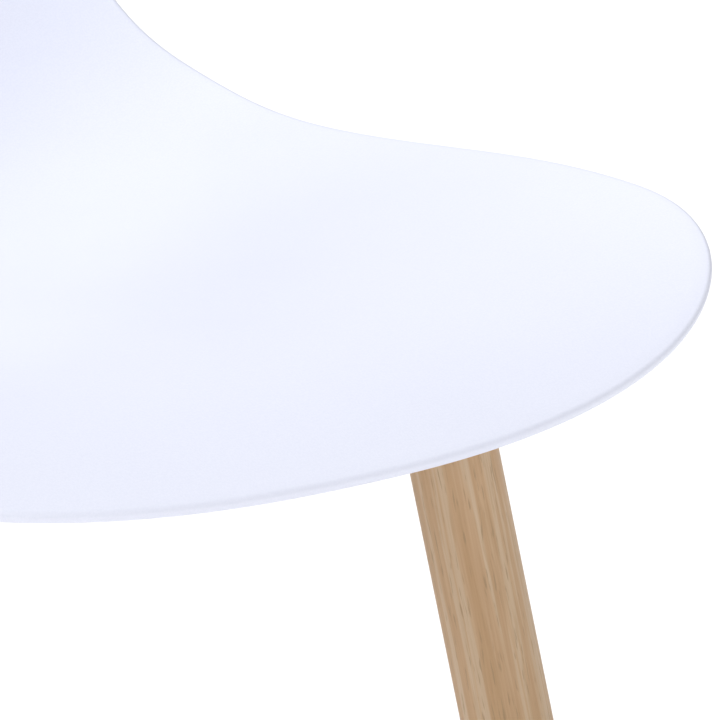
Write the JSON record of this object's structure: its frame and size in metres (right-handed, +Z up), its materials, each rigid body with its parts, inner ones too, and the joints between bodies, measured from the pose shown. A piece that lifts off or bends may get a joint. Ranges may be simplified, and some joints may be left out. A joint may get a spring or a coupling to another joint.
{
  "type": "dining chair",
  "caption": "Dining chair with a one-piece moulded plastic seat and back, on splayed round wooden legs joined by a steel cross frame.",
  "frame": {"origin": "on the floor, under the middle of the whole chair's footprint", "axes": "+Z up; the chair faces -Y, so a sitter looks along -Y; +X is on the right of a viewer who stands in front of the chair"},
  "size_m": [0.4556, 0.5208, 0.8203],
  "materials": {
    "shell_plastic": "satin white moulded polypropylene, very fine even texture",
    "leg_wood": "clear matt lacquered light oak-toned hardwood, straight fine grain along the leg",
    "frame_steel": "black powder coat, fine texture",
    "zinc_steel": "bright zinc plated steel",
    "brass": "plain turned brass",
    "rubber": "matt black moulded rubber",
    "glide_nylon": "matt dark nylon, slightly scuffed underneath"
  },
  "bodies": {
    "root": {"seat_shell": "shell_plastic", "frame_tube_through": "frame_steel", "frame_tube_front_right": "frame_steel", "frame_tube_rear_left": "frame_steel", "leg_front_left": "leg_wood", "leg_bracket_front_left": "frame_steel", "leg_bolt_lower_front_left": "zinc_steel", "leg_nut_lower_front_left": "zinc_steel", "leg_bolt_upper_front_left": "zinc_steel", "leg_nut_upper_front_left": "zinc_steel", "glide_front_left": "glide_nylon", "glide_nail_front_left": "zinc_steel", "seat_tab_front_left": "frame_steel", "seat_washer_front_left": "zinc_steel", "seat_screw_front_left": "zinc_steel", "seat_spacer_front_left": "rubber", "seat_insert_front_left": "brass", "leg_front_right": "leg_wood", "leg_bracket_front_right": "frame_steel", "leg_bolt_lower_front_right": "zinc_steel", "leg_nut_lower_front_right": "zinc_steel", "leg_bolt_upper_front_right": "zinc_steel", "leg_nut_upper_front_right": "zinc_steel", "glide_front_right": "glide_nylon", "glide_nail_front_right": "zinc_steel", "seat_tab_front_right": "frame_steel", "seat_washer_front_right": "zinc_steel", "seat_screw_front_right": "zinc_steel", "seat_spacer_front_right": "rubber", "seat_insert_front_right": "brass", "leg_rear_left": "leg_wood", "leg_bracket_rear_left": "frame_steel", "leg_bolt_lower_rear_left": "zinc_steel", "leg_nut_lower_rear_left": "zinc_steel", "leg_bolt_upper_rear_left": "zinc_steel", "leg_nut_upper_rear_left": "zinc_steel", "glide_rear_left": "glide_nylon", "glide_nail_rear_left": "zinc_steel", "seat_tab_rear_left": "frame_steel", "seat_washer_rear_left": "zinc_steel", "seat_screw_rear_left": "zinc_steel", "seat_spacer_rear_left": "rubber", "seat_insert_rear_left": "brass", "leg_rear_right": "leg_wood", "leg_bracket_rear_right": "frame_steel", "leg_bolt_lower_rear_right": "zinc_steel", "leg_nut_lower_rear_right": "zinc_steel", "leg_bolt_upper_rear_right": "zinc_steel", "leg_nut_upper_rear_right": "zinc_steel", "glide_rear_right": "glide_nylon", "glide_nail_rear_right": "zinc_steel", "seat_tab_rear_right": "frame_steel", "seat_washer_rear_right": "zinc_steel", "seat_screw_rear_right": "zinc_steel", "seat_spacer_rear_right": "rubber", "seat_insert_rear_right": "brass"}
  },
  "joints": []
}
